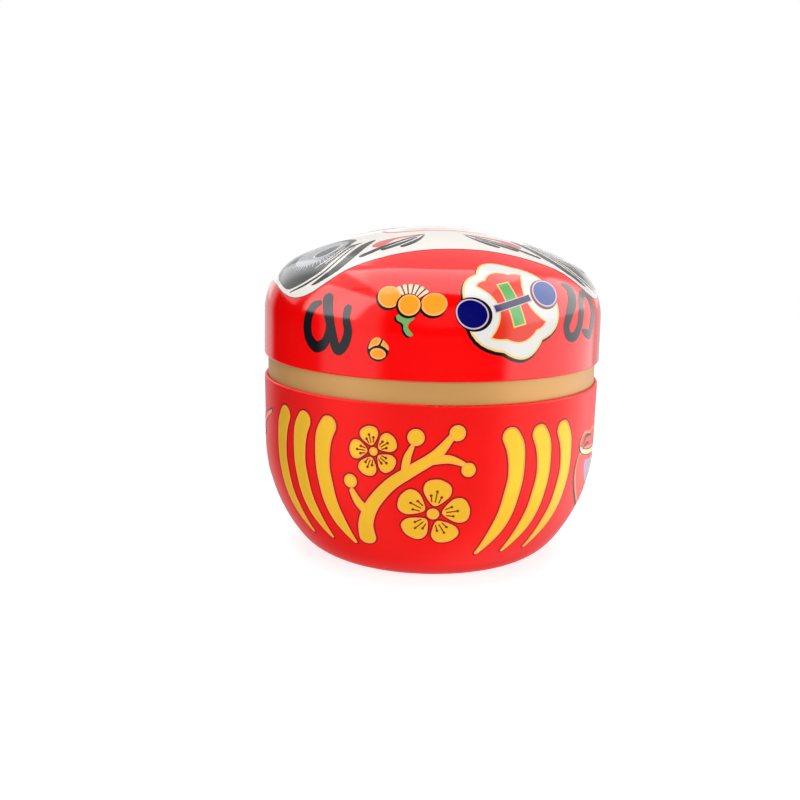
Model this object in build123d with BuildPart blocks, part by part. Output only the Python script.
from build123d import *
import os
from math import asin, degrees

# A round tea tin of drawn tinplate: a bowl-shaped body, a neck ring pressed into its rim,
# an inner lid with a knob, and a domed outer lid that slips over the neck.
# Millimetres, +Z up, origin at the centre of the base. Every piece is turned about Z.

# Driving dimensions
tin_diameter = 86.0
tin_height = 84.0
sheet = 0.3
fold_radius = 0.45
fold_leg = 2.4
slip_clearance = 0.15

# Body
body_rim_radius = 42.9
body_rim_height = 46.3
wall_lean = 1.26
belly_corner = (42.26, 16.7)
base_corner = (29.4, 0.0)
belly_radius = 40.0
base_edge_radius = 15.0
base_panel_radius = 18.4
base_panel_rise = 0.8
base_step_radius = 1.0

# Outer lid
lid_edge_height = 51.7
dome_radius = 81.5
shoulder_radius = 15.6

# Neck ring
neck_bottom = 38.0
neck_top = 67.0

# Inner lid
pan_depth = 5.8
pan_corner_radius = 1.2
pan_step_radius = 26.0
pan_step_rise = 0.8
brim_width = 0.65
brim_bend_radius = 0.4
rivet_hole_radius = 1.5

# Knob and rivet
knob_height = 11.0
knob_foot_radius = 5.0
knob_foot_height = 1.0
knob_waist_radius = 3.3
knob_waist_height = 4.2
knob_head_radius = 7.5
knob_head_height = 8.1
knob_crown_height = 9.3
knob_edge_radius = 0.5
rivet_shank_radius = 1.45
rivet_shank_reach = 6.5
rivet_head_radius = 3.2
rivet_head_height = 0.9

# Worked out from the sizes above
lid_radius = tin_diameter / 2
neck_radius = body_rim_radius - 2 * fold_radius
neck_bore_radius = neck_radius - 2 * fold_radius
lid_fold_radius = (lid_radius - neck_radius - slip_clearance) / 2
pan_radius = neck_bore_radius - slip_clearance
pan_underside = neck_top - pan_depth
pan_centre_underside = pan_underside + pan_step_rise
pan_centre_top = pan_centre_underside + sheet

# The dome and the shoulder are two arcs that meet smoothly at this angle from the pole
shoulder_inset = lid_radius - shoulder_radius
dome_turn = degrees(asin(shoulder_inset / (dome_radius - shoulder_radius)))

# Body: base panel, base edge, belly and wall in one sheet, with the rim folded inwards
with BuildPart() as body_shell:
    with BuildSketch(Plane.XZ):
        with BuildLine():
            bowl = FilletPolyline(
                (0, base_panel_rise),
                (base_panel_radius, base_panel_rise),
                (base_panel_radius + 1.2, 0),
                base_corner,
                belly_corner,
                (body_rim_radius, body_rim_height - fold_radius),
                radius=(base_step_radius, base_step_radius, base_edge_radius, belly_radius),
            )
            rim = JernArc(bowl @ 1, bowl % 1, fold_radius, 180 + wall_lean)
            Line(rim @ 1, rim @ 1 - (0, fold_leg))
            offset(amount=sheet, side=Side.RIGHT)
        make_face()
    revolve()
body_shell.part.label = "body_shell"

# Neck ring: a plain collar whose top edge is folded inwards
with BuildPart() as neck_ring:
    with BuildSketch(Plane.XZ):
        with BuildLine():
            collar = Line((neck_radius, neck_bottom), (neck_radius, neck_top - fold_radius))
            mouth = JernArc(collar @ 1, (0, 1), fold_radius, 180)
            Line(mouth @ 1, mouth @ 1 - (0, fold_leg))
            offset(amount=sheet, side=Side.LEFT)
        make_face()
    revolve()
neck_ring.part.label = "neck_ring"

# Outer lid: dome, shoulder and skirt, with the edge folded inwards to slide on the neck
with BuildPart() as lid_shell:
    with BuildSketch(Plane.XZ):
        with BuildLine():
            dome = JernArc((0, tin_height), (1, 0), dome_radius, -dome_turn)
            shoulder = JernArc(dome @ 1, dome % 1, shoulder_radius, dome_turn - 90)
            skirt = Line(shoulder @ 1, (lid_radius, lid_edge_height + lid_fold_radius))
            edge = JernArc(skirt @ 1, (0, -1), lid_fold_radius, -180)
            Line(edge @ 1, edge @ 1 + (0, fold_leg))
            offset(amount=sheet, side=Side.RIGHT)
        make_face()
    revolve()
lid_shell.part.label = "lid_shell"

# Inner lid: a shallow pan that drops into the neck and hangs on its brim
with BuildPart() as inner_lid_plate:
    with BuildSketch(Plane.XZ):
        with BuildLine():
            FilletPolyline(
                (rivet_hole_radius, pan_centre_underside),
                (pan_step_radius, pan_centre_underside),
                (pan_step_radius + 1.2, pan_underside),
                (pan_radius, pan_underside),
                (pan_radius, neck_top),
                (pan_radius + brim_width, neck_top),
                radius=(1.0, 1.0, pan_corner_radius, brim_bend_radius),
            )
            offset(amount=sheet, side=Side.LEFT)
        make_face()
    revolve()
inner_lid_plate.part.label = "inner_lid_plate"

# Knob: a turned button on a waisted foot, with a blind hole for the rivet
knob_side = Plane(origin=(0, 0, pan_centre_top), x_dir=(1, 0, 0), z_dir=(0, -1, 0))
with BuildPart() as inner_lid_knob:
    with BuildSketch(knob_side):
        with BuildLine():
            foot = Polyline(
                (0, rivet_shank_reach),
                (rivet_shank_radius, rivet_shank_reach),
                (rivet_shank_radius, 0),
                (knob_foot_radius, 0),
                (knob_foot_radius, knob_foot_height),
            )
            waist = ThreePointArc(
                foot @ 1,
                (knob_waist_radius, knob_waist_height),
                (knob_head_radius, knob_head_height),
            )
            crown = TangentArc((0, knob_height), (knob_head_radius, knob_crown_height), tangent=(1, 0))
            Line(waist @ 1, crown @ 1)
            Line(crown @ 0, foot @ 0)
        make_face()
        fillet(vertices().sort_by(Axis.X)[-2:], knob_edge_radius)
    revolve()
inner_lid_knob.part.label = "inner_lid_knob"

# Rivet: its head is under the pan and its shank fills the knob's hole
with BuildPart() as inner_lid_rivet:
    with BuildSketch(Plane.XY.offset(pan_centre_underside)):
        Circle(rivet_head_radius)
    extrude(amount=-rivet_head_height)
    fillet(inner_lid_rivet.edges().sort_by(Axis.Z)[0], 0.6)
    with BuildSketch(Plane.XY.offset(pan_centre_underside)):
        Circle(rivet_shank_radius)
    extrude(amount=sheet + rivet_shank_reach)
inner_lid_rivet.part.label = "inner_lid_rivet"

os.makedirs("parts", exist_ok=True)
for piece in (body_shell, neck_ring, lid_shell, inner_lid_plate, inner_lid_knob, inner_lid_rivet):
    export_step(piece.part, f"parts/{piece.part.label}.step")
